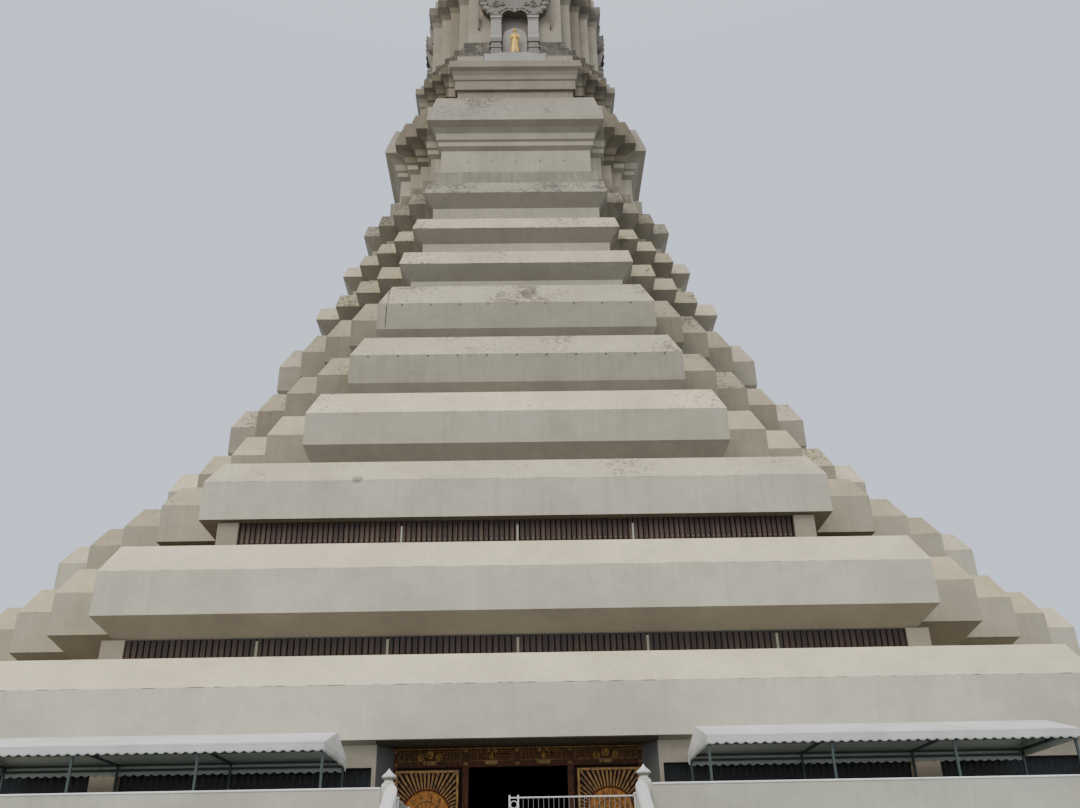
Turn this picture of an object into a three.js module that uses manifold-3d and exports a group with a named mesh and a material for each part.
// A stepped concrete stupa about 95 m high, as a 1:10 scale model.
// Its square storeys have redented corners, and each one ends in a sloped cap, an upright
// fascia and an undercut. A square shaft with a niche on each face carries a bell, a ringed
// spire and a tiered metal umbrella. Every size below is a real size in metres.
import * as THREE from 'three';
import { mergeVertices } from 'three/addons/utils/BufferGeometryUtils.js';
import Module from 'manifold-3d';

const wasm = await Module();
wasm.setup();

// Scale: millimetres of model for each real metre
const MODEL_SCALE = 1 / 10;
const MM_PER_METRE = 1000 * MODEL_SCALE;
// The joint left between neighbouring pieces: 0.3 mm on the model
const GAP = 0.3 / MM_PER_METRE;

// The redented plan: each corner steps back four times between two faces
const REDENTS = 4;

// Podium and its stair
const PODIUM_HALF = 26;
const PODIUM_TOP = 2.8;
const PARAPET_HEIGHT = 1.15;
const PARAPET_THICKNESS = 0.2;
const STAIR_RISERS = 16;
const STAIR_GOING = 0.3;
const STAIR_HALF_WIDTH = 2.4;
const CHEEK_THICKNESS = 0.24;
const CHEEK_RISE = 1.2;
const CHEEK_ROUNDING = 0.06;
const NEWEL_X = 2.6;
const NEWEL_HALF = 0.13;
const NEWEL_TOP = 4.06;
// Lotus bud on a newel: [radius, height over the post's top]
const BUD = [[0, -0.05], [0.1, -0.05], [0.085, 0.04], [0.13, 0.08], [0.142, 0.13], [0.06, 0.21], [0, 0.28]];
const BUD_SIDES = 8;

// Gate at the head of the stair
const GATE_HINGE_X = 2.395;
const GATE_Y = -25.84;
// The right leaf is the longer one; its end is where the two leaves meet
const GATE_RIGHT_REACH = 2.54;
const GATE_MEETING_GAP = 0.06;
const GATE_BOTTOM = 2.92;
const GATE_TOP = 3.756;
const GATE_TUBE = 0.05;
const GATE_BAR = 0.022;
const GATE_BAR_PITCH = 0.105;
// A ring fills the space between the two stiles at a leaf's free end
const GATE_END_STILES = 0.174;

// Ground storey
const GROUND_WALL_INSET = 0.25;
const WALL_THICKNESS = 0.3;
const RECESS_HALF_WIDTH = 3.32;
const SCREEN_HALF_WIDTH = 2.98;
const SCREEN_Y = -22.25;
const SCREEN_DEPTH = 0.16;
const SCREEN_TOP = 5.24;
const FRIEZE_BOTTOM = 4.8;
const PANEL_INNER = 1.33;
const DOOR_POST = 0.15;
const END_POST = 0.1;
const LEAF_WIDTH = 1.5;
const LEAF_DEPTH = 0.08;
const LEAF_CLEARANCE = 0.06;
const LEAF_BOTTOM = 2.9;
const LEAF_TOP = 4.72;
const SHOE_LENGTH = 0.2;
const SHOE_SETBACK = 0.02;
const SILL_HEIGHT = 0.05;
const GROUND_WINDOW = { sill: 3.7, head: 4.76, bays: [[3.42, 9.3], [9.95, 13.4]] };
// How far the masonry laps over the ends of the door screen
const JAMB_LAP = 0.1;

// Awnings that stand on the podium, one on each side of the stair
const AWNING = {
  near: 3.98, bay: 2.57, bays: 3, overhang: 0.06, front: -25.85, back: -23.1, postInset: 0.1,
  eave: 4.89, ridge: 5.28, valance: 0.19, lowRail: 0.11, tube: 0.05, cloth: 0.04,
};

// Storeys: w is half the width of the middle face, d the distance of that face from the axis.
// The outline of each one runs from the foot of the undercut, over the lower edge and the top of
// the fascia, to the top of the sloped cap. The top three have no fascia, and so no lower edge.
const TIERS = [
  { name: 'first_tier', w: 14.1, d: 23, foot: 5.27, edge: 5.35, fascia: 6.62, cap: 7.42,
    capInset: 0.4, undercut: 0.25, beam: 1.15, deck: 6.4 },
  { name: 'second_tier', w: 11.9, d: 20, foot: 8.68, edge: 9.25, fascia: 10.53, cap: 11.39,
    capInset: 0.4, undercut: 0.6, beam: 1.1, deck: 10.4 },
  { name: 'third_tier', w: 10, d: 17.84, foot: 12.82, edge: 12.86, fascia: 14.14, cap: 14.96,
    capInset: 0.44, undercut: 0.5, beam: 1.4, deck: 13.95 },
  { name: 'fourth_tier', w: 7.68, d: 14.94, foot: 15.92, edge: 16.77, fascia: 18.04, cap: 19.02,
    capInset: 0.4, undercut: 0.4, deck: 18.05 },
  { name: 'fifth_tier', w: 6.62, d: 13, foot: 19.5, edge: 20.3, fascia: 21.57, cap: 22.63,
    capInset: 0.46, undercut: 0.3, deck: 21.65 },
  { name: 'sixth_tier', w: 5.93, d: 11.32, foot: 23.05, edge: 23.8, fascia: 25.08, cap: 26.27,
    capInset: 0.5, undercut: 0.3, deck: 25.3 },
  { name: 'seventh_tier', w: 5.32, d: 9.97, foot: 27.44, fascia: 28.09, cap: 28.84,
    capInset: 0.17, undercut: 0.5, deck: 28.2 },
  { name: 'eighth_tier', w: 4.95, d: 8.9, foot: 30.3, fascia: 30.88, cap: 31.58,
    capInset: 0.2, undercut: 0.48, deck: 31 },
  { name: 'ninth_tier', w: 4.57, d: 8.07, foot: 33.03, fascia: 33.69, cap: 34.45,
    capInset: 0.17, undercut: 0.44, deck: 33.9 },
];
const SLAB = 0.3;
const CAP_WIDTH = 0.14;

// Window rows of the two storeys over the ground: bays between thin posts, with wider piers at the
// ends whose faces stand forward. The bays are open up to the beam.
const BAY_POST_WIDTH = 0.14;
const FIRST_ROW = {
  inset: 0.6, sill: 7.15, bays: [0, 3.65, 7.3, 11.045], pier: [10.975, 11.625], front: 19.5,
};
const SECOND_ROW = {
  inset: 0.55, sill: 11.15, bays: [0, 3.65, 8.845], pier: [8.775, 9.425], front: 17.66,
};

// Shaft, cornices and niche storey. Each row of an outline is [w, d, height] up the outside and
// over the deck behind the cap. A core is the hollow inside: [w, d, bottom, top].
const SHAFT = {
  rows: [[4.27, 6.8, 33.9], [4.27, 6.8, 36.06], [3.95, 6.36, 36.36], [3.95, 6.36, 37.85]],
  cores: [[3.65, 6.06, 33.9, 37.85]],
};
const LOWER_CORNICE = {
  rows: [[3.95, 6.36, 37.85], [4.12, 6.54, 38.05], [4.12, 6.54, 38.32], [4.2, 6.64, 38.42],
    [4.26, 6.7, 38.78], [4.42, 6.9, 39.05], [4.7, 7.22, 39.26], [4.7, 7.22, 39.42], [4.26, 6.78, 41.2],
    [4.12, 6.64, 41.2], [4.12, 6.64, 40.6]],
  cores: [[3.65, 6.06, 37.85, 40.3], [3, 5.12, 40.3, 40.6]],
};
const UPPER_CORNICE = {
  rows: [[3.3, 5.42, 40.6], [3.24, 5.36, 43.04], [3.4, 5.52, 43.08], [3.4, 5.52, 43.7], [3.46, 5.58, 43.78],
    [3.5, 5.62, 44.05], [3.58, 5.7, 44.3], [3.73, 5.85, 44.5], [3.73, 5.85, 44.95]],
  cores: [[3, 5.12, 40.6, 44.6], [1.7, 3.82, 44.6, 44.95]],
};
const NICHE_STOREY = {
  rows: [[3.3, 5.6, 44.95], [3.3, 5.6, 45.6], [3.12, 5.46, 45.8], [3.12, 5.46, 46.3], [2.98, 5.34, 46.5],
    [2.98, 5.34, 46.9], [2.74, 5.04, 47.25], [2.74, 5.04, 51], [2.86, 5.16, 51.4], [2.98, 5.36, 51.9],
    [2.98, 5.36, 52.5]],
  cores: [[1.7, 3.6, 44.95, 52.5]],
};
const NICHE = { halfWidth: 0.76, floor: 45.95, spring: 48.9, back: 3.95, face: 5.04 };
const PEDESTAL = { halfWidth: 1.8, front: 5.8 };
const PILASTER = { halfWidth: 1.45, front: 5.45, top: 48.4 };
const HOOD = {
  halfWidth: 2.1, front: 5.6, flare: 49.1, shoulder: 50.3, brow: 50.8, neck: 51.1, apex: 52.2, tip: 0.2,
};
// Figure: distance from the axis, heights, and its robe as [radius, share of the height]
const FIGURE = {
  distance: 5.35, plinth: 0.2, plinthRadius: 0.36, height: 1.86, depth: 0.7, headRadius: 0.11,
  headHeight: 0.9, topknot: 0.16,
  robe: [[0, 0], [0.24, 0], [0.18, 0.5], [0.23, 0.76], [0.07, 0.84], [0, 0.84]],
};

// Upper part, which the picture doesn't show: bell terraces, bell, throne, spire and umbrella
const BELL_TERRACES = {
  rows: [[2.76, 5.02, 52.5], [2.76, 5.02, 53.3], [2.6, 4.8, 53.6], [2.7, 4.92, 54.1], [2.46, 4.56, 54.5],
    [2.36, 4.4, 55.2], [2.2, 4.16, 55.5], [2.3, 4.28, 56], [2.06, 3.9, 56.4], [2.06, 3.9, 57.1]],
  cores: [[1.6, 3.3, 52.5, 57.1]],
};
const BELL = {
  rows: [[2.06, 3.9, 57.1], [2.06, 3.9, 57.5], [1.9, 3.62, 58.1], [1.74, 3.32, 59.8], [1.6, 3.04, 62],
    [1.42, 2.7, 64.4], [1.2, 2.26, 66], [0.8, 1.5, 67.4]],
  cores: [[1.2, 2.5, 57.1, 63.4], [0.5, 1, 63.4, 67.4]],
};
const THRONE = {
  rows: [[1.1, 1.9, 67.4], [1.1, 1.9, 67.9], [0.94, 1.66, 68.2], [0.94, 1.66, 69], [1.2, 2.04, 69.5],
    [1.2, 2.04, 69.9], [0.9, 1.6, 70.1]],
  cores: [[0.4, 0.9, 67.4, 70.1]],
};
const SPIRE = { bottom: 70.1, rings: 14, top: 82.2, lowRadius: 1.5, topRadius: 0.56, neck: 0.85 };
const SPIKE = [
  [0, 82.2], [0.62, 82.2], [0.72, 82.6], [0.46, 83.4], [0.5, 85], [0.3, 88.8], [0.36, 89.1], [0.14, 89.7],
  [0, 89.7],
];
const UMBRELLA = {
  bottom: 89.7, top: 95, tiers: 7, lowRadius: 1.05, topRadius: 0.24, pole: 0.09, droop: 0.05,
};
const ROUND_SIDES = 10;

// Finishes, as the photograph shows them
const finish = (color, roughness, metalness = 0) =>
  new THREE.MeshStandardMaterial({ color, roughness, metalness });
const paintedConcrete = finish('#aaa7a0', 0.85);
const plainPaving = finish('#9b968b', 0.9);
const whitePaint = finish('#dedcd4', 0.6);
const whiteSteel = finish('#e2e2de', 0.45, 0.3);
const carvedWood = finish('#785528', 0.5, 0.3);
const awningCloth = finish('#e4e4e0', 0.7);
const goldLeaf = finish('#d8a640', 0.3, 0.9);

const stupa = new THREE.Group();
stupa.scale.setScalar(MM_PER_METRE);

// Leaves only positions, merges shared corners and drops triangles with no area
function weld(geometry) {
  const bare = geometry.clone();
  bare.deleteAttribute('normal');
  bare.deleteAttribute('uv');
  const merged = mergeVertices(bare, 1e-5);
  const index = [...merged.index.array];
  const kept = [];
  for (let i = 0; i < index.length; i += 3) {
    const [a, b, c] = index.slice(i, i + 3);
    if (a !== b && b !== c && c !== a) kept.push(a, b, c);
  }
  merged.setIndex(kept);
  return signedVolume(merged) < 0 ? turnInsideOut(merged) : merged;
}

function signedVolume(geometry) {
  const p = geometry.attributes.position;
  const index = geometry.index.array;
  const [a, b, c] = [new THREE.Vector3(), new THREE.Vector3(), new THREE.Vector3()];
  let volume = 0;
  for (let i = 0; i < index.length; i += 3) {
    a.fromBufferAttribute(p, index[i]);
    b.fromBufferAttribute(p, index[i + 1]);
    c.fromBufferAttribute(p, index[i + 2]);
    volume += a.dot(b.cross(c)) / 6;
  }
  return volume;
}

function turnInsideOut(geometry) {
  const index = geometry.index.array;
  const flipped = [];
  for (let i = 0; i < index.length; i += 3) flipped.push(index[i], index[i + 2], index[i + 1]);
  geometry.setIndex(flipped);
  return geometry;
}

// Booleans
function toSolid(geometry) {
  const welded = weld(geometry);
  return new wasm.Manifold(new wasm.Mesh({
    numProp: 3,
    vertProperties: new Float32Array(welded.attributes.position.array),
    triVerts: new Uint32Array(welded.index.array),
  }));
}

function toGeometry(solid) {
  const mesh = solid.getMesh();
  const geometry = new THREE.BufferGeometry();
  geometry.setAttribute('position', new THREE.BufferAttribute(new Float32Array(mesh.vertProperties), 3));
  geometry.setIndex([...mesh.triVerts]);
  return geometry;
}

const join = (first, ...others) =>
  toGeometry(others.reduce((sum, other) => sum.add(toSolid(other)), toSolid(first)));
const cut = (body, ...tools) =>
  toGeometry(tools.reduce((rest, tool) => rest.subtract(toSolid(tool)), toSolid(body)));
const common = (first, second) => toGeometry(toSolid(first).intersect(toSolid(second)));

// Adds a named piece to the stupa, or to a group inside it
function piece(name, geometry, material, parent = stupa) {
  const mesh = new THREE.Mesh(weld(geometry), material);
  mesh.name = name;
  parent.add(mesh);
  return mesh;
}

// A box from its lowest to its highest corner
function block([x0, y0, z0], [x1, y1, z1]) {
  const box = new THREE.BoxGeometry(x1 - x0, y1 - y0, z1 - z0);
  return box.translate((x0 + x1) / 2, (y0 + y1) / 2, (z0 + z1) / 2);
}

// A plan outline raised from one height to another
function raise(points, bottom, top) {
  const outline = new THREE.Shape(points.map(([x, y]) => new THREE.Vector2(x, y)));
  const solid = new THREE.ExtrudeGeometry(outline, { depth: top - bottom, bevelEnabled: false });
  return solid.translate(0, 0, bottom);
}

// A side outline of [y, z] points given a width along x
function sideOutline(points, x0, x1) {
  const outline = new THREE.Shape(points.map(([y, z]) => new THREE.Vector2(y, z)));
  const solid = new THREE.ExtrudeGeometry(outline, { depth: x1 - x0, bevelEnabled: false });
  return solid.rotateX(Math.PI / 2).rotateZ(Math.PI / 2).translate(x0, 0, 0);
}

// A profile of [radius, height] points turned about the upright axis
function turned(points, sides) {
  const profile = points.map(([radius, z]) => new THREE.Vector2(radius, z));
  return new THREE.LatheGeometry(profile, sides).rotateX(Math.PI / 2);
}

// The corners of a redented square, anticlockwise from the right-hand face
function redentedPlan(w, d) {
  const step = (d - w) / REDENTS;
  const quarter = [[d, w]];
  for (let i = 1; i <= REDENTS; i++) {
    quarter.push([d - i * step, w + (i - 1) * step], [d - i * step, w + i * step]);
  }
  const corners = [];
  for (let turn = 0; turn < 4; turn++) {
    for (const [x, y] of quarter) {
      const [c, s] = [[1, 0], [0, 1], [-1, 0], [0, -1]][turn];
      corners.push([c * x - s * y, s * x + c * y]);
    }
  }
  return corners;
}

// A moulding carried round the redented plan: a lathe whose columns are moved to its corners.
// Each row is [w, d, height]; a row with d of 0 lies on the axis.
function redented(rows) {
  const columns = 4 * (2 * REDENTS + 1);
  const lathe = new THREE.LatheGeometry(rows.map(([, d, z]) => new THREE.Vector2(d, z)), columns);
  const p = lathe.attributes.position;
  const plans = rows.map(([w, d]) => redentedPlan(w, d));
  for (let column = 0; column <= columns; column++) {
    for (let row = 0; row < rows.length; row++) {
      const [x, y] = plans[row][column % columns];
      p.setXYZ(column * rows.length + row, x, y, rows[row][2]);
    }
  }
  return lathe;
}

// A closed ring of redented section
const redentedRing = (rows) => redented([...rows, rows[0]]);
const inset = (tier, amount, z) => [tier.w - amount, tier.d - amount, z];

// The hollow of a storey: three crossed blocks that follow the redents in bigger steps
function core([w, d, bottom, top]) {
  const middle = (w + d) / 2;
  const reaches = [[w, d], [middle, middle], [d, w]];
  return join(...reaches.map(([x, y]) => block([-x, -y, bottom], [x, y, top])));
}

// A moulded storey: a solid between its lowest and highest row, cut by its cores
function hollowStorey({ rows, cores }) {
  const solid = redented([[0, 0, rows[0][2]], ...rows, [0, 0, rows.at(-1)[2]]]);
  return cut(solid, ...cores.map(core));
}

// A storey's core, at a distance inside its face
const coreThrough = (tier, amount, bottom, top) => [tier.w - amount, tier.d - amount, bottom, top];

// Podium, parapets and stair
const podium = block([-PODIUM_HALF, -PODIUM_HALF, 0], [PODIUM_HALF, PODIUM_HALF, PODIUM_TOP]);
piece('podium', podium, plainPaving);

const parapetFoot = PODIUM_TOP + GAP;
const parapetTop = PODIUM_TOP + PARAPET_HEIGHT;
const parapetInner = PODIUM_HALF - PARAPET_THICKNESS;
const parapetEnd = NEWEL_X + NEWEL_HALF + GAP;
for (const [side, name] of [[-1, 'front_parapet_left'], [1, 'front_parapet_right']]) {
  const [x0, x1] = [side * parapetEnd, side * (parapetInner - GAP)].sort((a, b) => a - b);
  piece(name, block([x0, -PODIUM_HALF, parapetFoot], [x1, -parapetInner, parapetTop]), whitePaint);
}
piece('rear_parapet', raise([
  [-PODIUM_HALF, -PODIUM_HALF], [-parapetInner, -PODIUM_HALF], [-parapetInner, parapetInner],
  [parapetInner, parapetInner], [parapetInner, -PODIUM_HALF], [PODIUM_HALF, -PODIUM_HALF],
  [PODIUM_HALF, PODIUM_HALF], [-PODIUM_HALF, PODIUM_HALF],
], parapetFoot, parapetTop), whitePaint);

const riser = PODIUM_TOP / STAIR_RISERS;
const stairHead = -PODIUM_HALF - GAP;
const stairFoot = stairHead - (STAIR_RISERS - 1) * STAIR_GOING;
const treadOutline = [[stairHead, 0]];
for (let i = 1; i < STAIR_RISERS; i++) {
  const y = stairHead - (i - 1) * STAIR_GOING;
  const z = PODIUM_TOP - i * riser;
  treadOutline.push([y, z], [y - STAIR_GOING, z]);
}
treadOutline.push([stairFoot, 0]);
piece('front_stair', sideOutline(treadOutline, -STAIR_HALF_WIDTH, STAIR_HALF_WIDTH), plainPaving);

// A cheek wall is a full-width body with a narrower strip on top that rounds its coping
const cheekEnd = stairFoot - 0.3;
const cheekOutline = (rise) => [[stairHead, 0], [cheekEnd, 0], [cheekEnd, rise], [stairFoot, rise],
  [stairHead, PODIUM_TOP + rise]];
for (const [side, name] of [[-1, 'stair_cheek_left'], [1, 'stair_cheek_right']]) {
  const inner = STAIR_HALF_WIDTH + GAP;
  const layers = [[CHEEK_RISE - CHEEK_ROUNDING, 0], [CHEEK_RISE, CHEEK_ROUNDING]].map(([rise, setback]) => {
    const ends = [side * (inner + setback), side * (inner + CHEEK_THICKNESS - setback)];
    const [x0, x1] = ends.sort((a, b) => a - b);
    return sideOutline(cheekOutline(rise), x0, x1);
  });
  piece(name, join(...layers), whitePaint);
}

// A newel post with a lotus-bud finial and the two brackets that carry a gate leaf
function newelPost(side) {
  const post = block([-NEWEL_HALF, -NEWEL_HALF, parapetFoot], [NEWEL_HALF, NEWEL_HALF, NEWEL_TOP]);
  const bud = turned(BUD, BUD_SIDES).translate(0, 0, NEWEL_TOP);
  const reach = NEWEL_X - GATE_HINGE_X + GATE_TUBE;
  const arm = (bottom) => {
    const ends = [0, -side * reach].sort((a, b) => a - b);
    return block([ends[0], -GATE_TUBE / 2, bottom], [ends[1], GATE_TUBE / 2, bottom + GATE_TUBE]);
  };
  return join(post, bud, arm(GATE_BOTTOM - GAP - GATE_TUBE), arm(GATE_TOP + GAP));
}
for (const [side, name] of [[-1, 'newel_left'], [1, 'newel_right']]) {
  piece(name, newelPost(side), whitePaint).position.set(side * NEWEL_X, GATE_Y, 0);
}

// A gate leaf of tube, lying along +x from its hinge line to the middle of its end stile
function gateLeaf(reach) {
  const half = GATE_TUBE / 2;
  const bar = GATE_BAR / 2;
  const latch = reach - GATE_END_STILES;
  const stile = (x) => block([x - half, -half, GATE_BOTTOM], [x + half, half, GATE_TOP]);
  const rail = (z) => block([0, -half, z - half], [reach, half, z + half]);
  const count = Math.round(latch / GATE_BAR_PITCH) - 1;
  const bars = Array.from({ length: count }, (_, i) => {
    const x = latch * (i + 1) / (count + 1);
    return block([x - bar, -bar, GATE_BOTTOM + half], [x + bar, bar, GATE_TOP - half]);
  });
  return join(stile(0), stile(latch), stile(reach), rail(GATE_BOTTOM + 2 * half), rail(GATE_TOP - half),
    ...bars);
}
const openAngle = Math.PI / 2;
const leftReach = 2 * GATE_HINGE_X - GATE_RIGHT_REACH - GATE_TUBE - GATE_MEETING_GAP;
for (const [side, angle, reach, name] of [
  [-1, openAngle, leftReach, 'gate_leaf_left'], [1, Math.PI, GATE_RIGHT_REACH, 'gate_leaf_right'],
]) {
  const leaf = piece(name, gateLeaf(reach), whiteSteel);
  leaf.position.set(side * GATE_HINGE_X, GATE_Y, 0);
  leaf.rotation.z = angle;
}

// Window openings through the four middle faces, from bay edges measured from the centre line
function windowCutters(distance, depth, sill, head, bays) {
  const cutters = [];
  for (let turn = 0; turn < 4; turn++) {
    for (const side of [-1, 1]) {
      for (const [near, far] of bays) {
        const [x0, x1] = [side * near, side * far].sort((a, b) => a - b);
        const hole = block([x0, -distance - depth, sill], [x1, -distance + depth, head]);
        cutters.push(hole.rotateZ(turn * Math.PI / 2));
      }
    }
  }
  return cutters;
}

// Ground storey: front walls with splayed jambs beside the doorway, and one wall round the rest
const first = TIERS[0];
const wallFoot = PODIUM_TOP + GAP;
const screenBack = SCREEN_Y + SCREEN_DEPTH;
const groundRing = redentedRing([
  inset(first, GROUND_WALL_INSET + WALL_THICKNESS, wallFoot), inset(first, GROUND_WALL_INSET, wallFoot),
  inset(first, GROUND_WALL_INSET, first.foot - GAP),
  inset(first, GROUND_WALL_INSET + WALL_THICKNESS, first.foot - GAP),
]);
const frontFace = -(first.d - GROUND_WALL_INSET);
const groundWalls = cut(groundRing, ...windowCutters(
  -frontFace, 2 * WALL_THICKNESS, GROUND_WINDOW.sill, GROUND_WINDOW.head, GROUND_WINDOW.bays));
const faceEnd = first.w - GROUND_WALL_INSET - WALL_THICKNESS;
const frontZone = block([-faceEnd, frontFace - 1, 0], [faceEnd, frontFace + 1, first.edge]);
piece('ground_wall_rear', cut(groundWalls, frontZone), paintedConcrete);
for (const [side, name] of [[-1, 'ground_wall_front_left'], [1, 'ground_wall_front_right']]) {
  const ends = [side * RECESS_HALF_WIDTH, side * (faceEnd - GAP)].sort((a, b) => a - b);
  const zone = block([ends[0], frontFace - 1, 0], [ends[1], frontFace + 1, first.edge]);
  const inner = side * (SCREEN_HALF_WIDTH + GAP);
  const outer = side * (RECESS_HALF_WIDTH + JAMB_LAP);
  const jamb = raise([
    [side * RECESS_HALF_WIDTH, frontFace], [inner, SCREEN_Y], [inner, screenBack], [outer, screenBack],
    [outer, frontFace],
  ], wallFoot, first.foot - GAP);
  piece(name, join(common(groundWalls, zone), jamb), paintedConcrete);
}

// Door screen: posts, frieze beam, sill and the fixed panels behind the parked leaves
const screenBody = block(
  [-SCREEN_HALF_WIDTH, SCREEN_Y, wallFoot], [SCREEN_HALF_WIDTH, screenBack, SCREEN_TOP]);
const doorwayEdge = PANEL_INNER - DOOR_POST;
const doorway = block(
  [-doorwayEdge, SCREEN_Y - 1, PODIUM_TOP], [doorwayEdge, screenBack + 1, FRIEZE_BOTTOM]);
const panelRecesses = [-1, 1].map((side) => {
  const ends = [side * PANEL_INNER, side * (SCREEN_HALF_WIDTH - END_POST)];
  const [x0, x1] = ends.sort((a, b) => a - b);
  return block([x0, SCREEN_Y - 1, LEAF_BOTTOM], [x1, SCREEN_Y + SCREEN_DEPTH / 2, FRIEZE_BOTTOM]);
});
const trackFront = SCREEN_Y - LEAF_CLEARANCE - LEAF_DEPTH - LEAF_CLEARANCE;
const sillTop = PODIUM_TOP + SILL_HEIGHT;
const sill = block([-SCREEN_HALF_WIDTH, trackFront, wallFoot], [SCREEN_HALF_WIDTH, screenBack, sillTop]);
piece('door_screen', join(cut(screenBody, doorway, ...panelRecesses), sill), carvedWood);

// A door leaf with two shoes that run on the sill
function doorLeaf(centre) {
  const front = SCREEN_Y - LEAF_CLEARANCE - LEAF_DEPTH;
  const back = front + LEAF_DEPTH;
  const half = LEAF_WIDTH / 2;
  const panel = block([centre - half, front, LEAF_BOTTOM], [centre + half, back, LEAF_TOP]);
  const shoe = (x) => block([x - SHOE_LENGTH / 2, front + SHOE_SETBACK, sillTop + GAP],
    [x + SHOE_LENGTH / 2, back - SHOE_SETBACK, LEAF_BOTTOM]);
  return join(panel, shoe(centre - half / 2), shoe(centre + half / 2));
}
const parkedCentre = (PANEL_INNER + SCREEN_HALF_WIDTH) / 2;
piece('door_leaf_left', doorLeaf(-parkedCentre), carvedWood);
piece('door_leaf_right', doorLeaf(parkedCentre), carvedWood);

// The first three tiers carry a floor: slab, edge beam, fascia and sloped parapet in one casting
const capRows = (tier) => [
  inset(tier, 0, tier.fascia), inset(tier, tier.capInset, tier.cap),
  inset(tier, tier.capInset + CAP_WIDTH, tier.cap), inset(tier, tier.capInset + CAP_WIDTH, tier.deck),
];
for (const tier of TIERS.slice(0, 3)) {
  const rows = [inset(tier, tier.undercut, tier.foot), inset(tier, 0, tier.edge), ...capRows(tier)];
  const cores = [coreThrough(tier, tier.beam, tier.foot - 1, tier.deck - SLAB)];
  piece(tier.name, hollowStorey({ rows, cores }), paintedConcrete);
}

// Walls with a window row: a ring on the deck below, thin posts between bays, piers at the ends
function windowStorey(below, tier, row) {
  const wallInset = row.inset;
  const bottom = below.deck + GAP;
  const top = tier.foot - GAP;
  const ring = redentedRing([
    inset(tier, wallInset + WALL_THICKNESS, bottom), inset(tier, wallInset, bottom),
    inset(tier, wallInset, top), inset(tier, wallInset + WALL_THICKNESS, top),
  ]);
  const half = BAY_POST_WIDTH / 2;
  const edges = row.bays.slice(1).map((far, i) => [row.bays[i] + half, far - half]);
  const distance = tier.d - wallInset;
  const piers = [];
  for (let turn = 0; turn < 4; turn++) {
    for (const side of [-1, 1]) {
      const [x0, x1] = row.pier.map((x) => side * x).sort((a, b) => a - b);
      const pier = block([x0, -row.front, bottom], [x1, -distance + WALL_THICKNESS / 2, top]);
      piers.push(pier.rotateZ(turn * Math.PI / 2));
    }
  }
  const windows = windowCutters(distance, 2 * WALL_THICKNESS, row.sill, tier.edge, edges);
  return join(cut(ring, ...windows), ...piers);
}
piece('first_floor_wall', windowStorey(TIERS[0], TIERS[1], FIRST_ROW), paintedConcrete);
piece('second_floor_wall', windowStorey(TIERS[1], TIERS[2], SECOND_ROW), paintedConcrete);

// The tiers above are open rings: wall, undercut, fascia, sloped cap and a gutter to the next wall.
// Where there is no fascia, the undercut and the cap meet in a ridge.
TIERS.slice(3).forEach((tier, i) => {
  const bottom = TIERS[i + 2].deck + GAP;
  const [shaftW, shaftD] = SHAFT.cores[0];
  const next = TIERS[i + 4];
  const deckCore = next
    ? coreThrough(next, next.undercut + WALL_THICKNESS, tier.deck - SLAB - GAP, tier.deck + GAP)
    : [shaftW, shaftD, tier.deck - SLAB - GAP, tier.deck + GAP];
  const rows = [
    inset(tier, tier.undercut, bottom), inset(tier, tier.undercut, tier.foot),
    ...(tier.edge ? [inset(tier, 0, tier.edge)] : []), ...capRows(tier),
  ];
  const wallCore = coreThrough(tier, tier.undercut + WALL_THICKNESS, bottom - 1, tier.deck - SLAB);
  piece(tier.name, hollowStorey({ rows, cores: [wallCore, deckCore] }), paintedConcrete);
});

// Stands a storey on the one below, with the joint between them
const standing = ({ rows, cores }) => {
  const foot = rows[0][2];
  const last = cores.length - 1;
  return {
    rows: rows.map(([w, d, z], i) => [w, d, i === 0 ? z + GAP : z]),
    cores: cores.map(([w, d, bottom, top], i) =>
      [w, d, bottom === foot ? bottom - 1 : bottom - GAP, i === last ? top + 1 : top]),
  };
};
piece('shaft', hollowStorey(standing(SHAFT)), paintedConcrete);
piece('lower_cornice', hollowStorey(standing(LOWER_CORNICE)), paintedConcrete);
piece('upper_cornice', hollowStorey(standing(UPPER_CORNICE)), paintedConcrete);

// Niche storey: a ring cut for the four niches and for the flat backs of their frames
const nicheFoot = NICHE_STOREY.rows[0][2];
const onEachFace = (shape) => [0, 1, 2, 3].map((turn) => shape().rotateZ(turn * Math.PI / 2));
const nicheHole = () => join(
  block([-NICHE.halfWidth, -PEDESTAL.front, NICHE.floor], [NICHE.halfWidth, -NICHE.back, NICHE.spring]),
  new THREE.CylinderGeometry(NICHE.halfWidth, NICHE.halfWidth, PEDESTAL.front - NICHE.back, ROUND_SIDES)
    .translate(0, -(PEDESTAL.front + NICHE.back) / 2, 0).translate(0, 0, NICHE.spring),
);
const frameSeat = () => {
  const seat = ({ halfWidth }, bottom, top) => block(
    [-halfWidth - GAP, -PEDESTAL.front - 1, bottom], [halfWidth + GAP, -NICHE.face, top]);
  return join(seat(PEDESTAL, nicheFoot - 1, NICHE.floor), seat(PILASTER, NICHE.floor - 0.1, PILASTER.top),
    seat(HOOD, PILASTER.top, HOOD.apex + GAP));
};
const nicheShell = hollowStorey(standing(NICHE_STOREY));
const nicheStorey = cut(nicheShell, ...onEachFace(frameSeat), ...onEachFace(nicheHole));
piece('niche_storey', nicheStorey, paintedConcrete);

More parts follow.
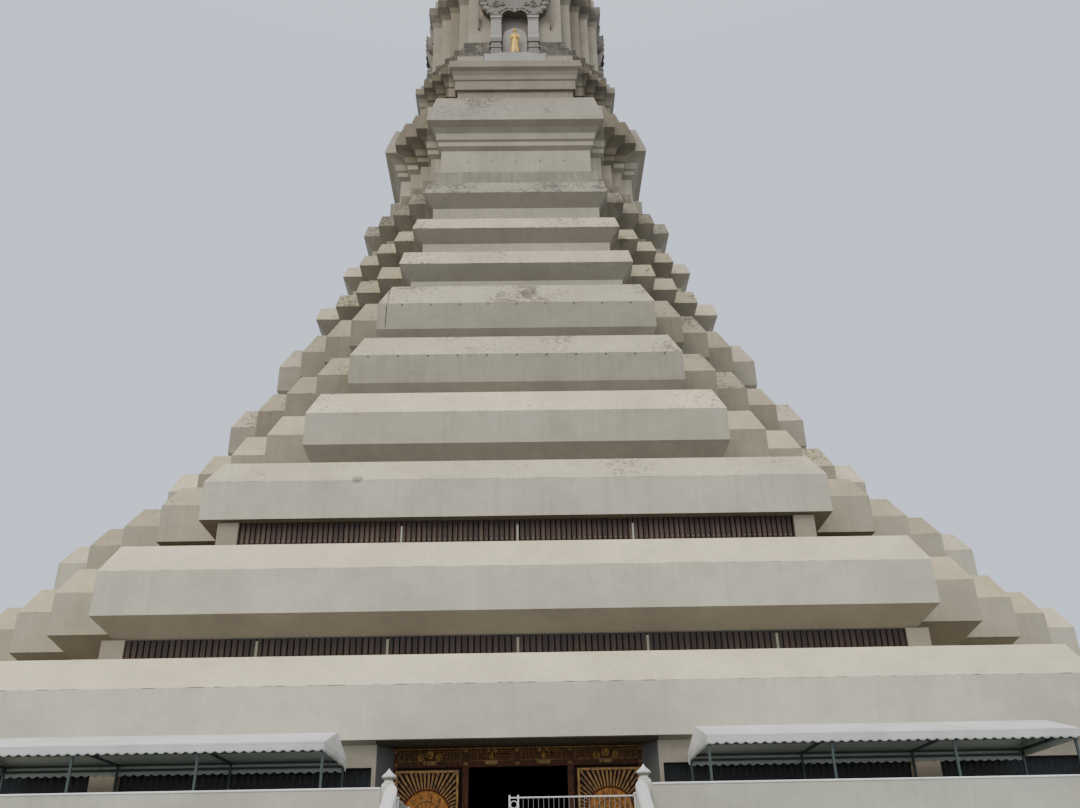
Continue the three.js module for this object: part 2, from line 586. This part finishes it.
// A frame on one face: pedestal, two pilasters with caps, and a pointed hood over the arch
function nicheFrame() {
  const back = -NICHE.face - GAP;
  const foot = nicheFoot + GAP;
  const pedestal = block(
    [-PEDESTAL.halfWidth, -PEDESTAL.front, foot], [PEDESTAL.halfWidth, back, NICHE.floor]);
  const pilaster = (side) => {
    const ends = [side * NICHE.halfWidth, side * PILASTER.halfWidth].sort((a, b) => a - b);
    return block([ends[0], -PILASTER.front, NICHE.floor - GAP], [ends[1], back, PILASTER.top + GAP]);
  };
  const outline = new THREE.Shape();
  outline.moveTo(-PILASTER.halfWidth, PILASTER.top);
  outline.quadraticCurveTo(-HOOD.halfWidth, PILASTER.top, -HOOD.halfWidth, HOOD.flare);
  outline.quadraticCurveTo(-HOOD.halfWidth, HOOD.shoulder, -HOOD.halfWidth / 3, HOOD.brow);
  outline.quadraticCurveTo(-HOOD.tip, HOOD.neck, 0, HOOD.apex);
  outline.quadraticCurveTo(HOOD.tip, HOOD.neck, HOOD.halfWidth / 3, HOOD.brow);
  outline.quadraticCurveTo(HOOD.halfWidth, HOOD.shoulder, HOOD.halfWidth, HOOD.flare);
  outline.quadraticCurveTo(HOOD.halfWidth, PILASTER.top, PILASTER.halfWidth, PILASTER.top);
  const slab = new THREE.ExtrudeGeometry(outline, {
    depth: HOOD.front - NICHE.face - GAP, bevelEnabled: false, curveSegments: 5,
  });
  const hood = slab.rotateX(Math.PI / 2).translate(0, back, 0);
  return cut(join(pedestal, pilaster(-1), pilaster(1), hood), nicheHole());
}

// A standing figure in a long robe on a low plinth, with a topknot
function nicheFigure() {
  const { height, plinth: robeFoot, plinthRadius, headRadius } = FIGURE;
  const plinth = turned([[0, 0], [plinthRadius, 0], [plinthRadius - 0.06, robeFoot], [0, robeFoot]], 8);
  const robe = turned(FIGURE.robe.map(([radius, share]) => [radius, share * height]), 8)
    .scale(1, FIGURE.depth, 1).translate(0, 0, robeFoot - GAP);
  const head = new THREE.SphereGeometry(headRadius, 8, 5).scale(1, 1, 1.2)
    .translate(0, 0, robeFoot + FIGURE.headHeight * height);
  const topknot = turned([[0, 0], [headRadius * 0.64, 0], [0, FIGURE.topknot]], 6)
    .translate(0, 0, robeFoot + height - FIGURE.topknot);
  return join(plinth, robe, head, topknot).translate(0, -FIGURE.distance, NICHE.floor + GAP);
}

for (const [turn, face] of ['front', 'right', 'back', 'left'].entries()) {
  const side = new THREE.Group();
  side.rotation.z = turn * Math.PI / 2;
  stupa.add(side);
  piece(`niche_frame_${face}`, nicheFrame(), paintedConcrete, side);
  piece(`niche_figure_${face}`, nicheFigure(), goldLeaf, side);
}

// Bell terraces, bell and throne
piece('bell_terraces', hollowStorey(standing(BELL_TERRACES)), paintedConcrete);
piece('bell', hollowStorey(standing(BELL)), paintedConcrete);
piece('throne', hollowStorey(standing(THRONE)), paintedConcrete);

// Ringed spire: each ring bulges a little over the neck below it
function ringedSpire() {
  const pitch = (SPIRE.top - SPIRE.bottom) / SPIRE.rings;
  const points = [[0, SPIRE.bottom + GAP]];
  for (let i = 0; i < SPIRE.rings; i++) {
    const z = SPIRE.bottom + i * pitch;
    const radius = THREE.MathUtils.lerp(SPIRE.lowRadius, SPIRE.topRadius, i / (SPIRE.rings - 1));
    const foot = i === 0 ? z + GAP : z;
    points.push([SPIRE.neck * radius, foot], [radius, z + 0.3 * pitch], [radius, z + 0.7 * pitch]);
  }
  points.push([SPIRE.neck * SPIRE.topRadius, SPIRE.top], [0, SPIRE.top]);
  return turned(points, ROUND_SIDES);
}
piece('ringed_spire', ringedSpire(), paintedConcrete);
const spikeRows = SPIKE.map(([radius, z]) => [radius, z === SPIRE.top ? z + GAP : z]);
piece('spike', turned(spikeRows, ROUND_SIDES), paintedConcrete);

// Tiered umbrella: brims on one pole, smaller towards the tip
function umbrella() {
  const pitch = (UMBRELLA.top - UMBRELLA.bottom) / (UMBRELLA.tiers + 1.5);
  const points = [[0, UMBRELLA.bottom + GAP], [UMBRELLA.pole * 2, UMBRELLA.bottom + GAP]];
  for (let i = 0; i < UMBRELLA.tiers; i++) {
    const z = UMBRELLA.bottom + (i + 0.5) * pitch;
    const radius = THREE.MathUtils.lerp(UMBRELLA.lowRadius, UMBRELLA.topRadius, i / (UMBRELLA.tiers - 1));
    points.push([UMBRELLA.pole, z], [radius, z - UMBRELLA.droop], [UMBRELLA.pole, z + 0.5 * pitch]);
  }
  points.push([0, UMBRELLA.top]);
  return turned(points, ROUND_SIDES);
}
piece('umbrella', umbrella(), goldLeaf);

// Awnings: steel frame of posts, double eave rails and a ridge rail, with a cloth cover drawn over it
const awningMiddle = (AWNING.front + AWNING.back) / 2;
const awningPitch = (AWNING.ridge - AWNING.eave) / (awningMiddle - AWNING.front);
const coverEave = AWNING.eave - AWNING.cloth / 2;
const coverRidge = AWNING.ridge - AWNING.cloth;
const awningLength = AWNING.bay * AWNING.bays + AWNING.tube;

function awningFrame() {
  const { tube, front, back } = AWNING;
  const eave = coverEave - GAP;
  const ridge = coverRidge - awningPitch * tube / 2 - GAP;
  const frontRail = front + AWNING.postInset;
  const backRail = back - AWNING.postInset - tube;
  const ridgeRail = awningMiddle - tube / 2;
  const posts = [];
  for (let i = 0; i <= AWNING.bays; i++) {
    const x = i * AWNING.bay;
    const upright = (y, bottom, top) => block([x, y, bottom], [x + tube, y + tube, top]);
    posts.push(upright(frontRail, wallFoot, eave), upright(backRail, wallFoot, eave));
    posts.push(block([x, frontRail, eave - tube], [x + tube, backRail + tube, eave]));
    posts.push(upright(ridgeRail, eave - tube, ridge));
  }
  const rail = (y, top) => block([0, y, top - tube], [awningLength, y + tube, top]);
  const low = eave - AWNING.lowRail;
  return join(rail(frontRail, eave), rail(backRail, eave), rail(frontRail, low), rail(backRail, low),
    rail(ridgeRail, ridge), ...posts);
}

function awningCover() {
  const { front, back, eave, ridge, valance, cloth, overhang } = AWNING;
  const hem = eave - valance;
  const [near, far] = [-overhang, awningLength + overhang];
  const outside = sideOutline(
    [[front, hem], [back, hem], [back, eave], [awningMiddle, ridge], [front, eave]], near, far);
  const inside = sideOutline([
    [front + cloth, hem - 1], [back - cloth, hem - 1], [back - cloth, coverEave],
    [awningMiddle, coverRidge], [front + cloth, coverEave],
  ], near + cloth, far - cloth);
  return cut(outside, inside);
}

for (const [side, name] of [[-1, 'left'], [1, 'right']]) {
  const stand = new THREE.Group();
  stand.position.x = side > 0 ? AWNING.near : -AWNING.near - awningLength;
  stupa.add(stand);
  piece(`awning_frame_${name}`, awningFrame(), whiteSteel, stand);
  piece(`awning_cover_${name}`, awningCover(), awningCloth, stand);
}

export default stupa;
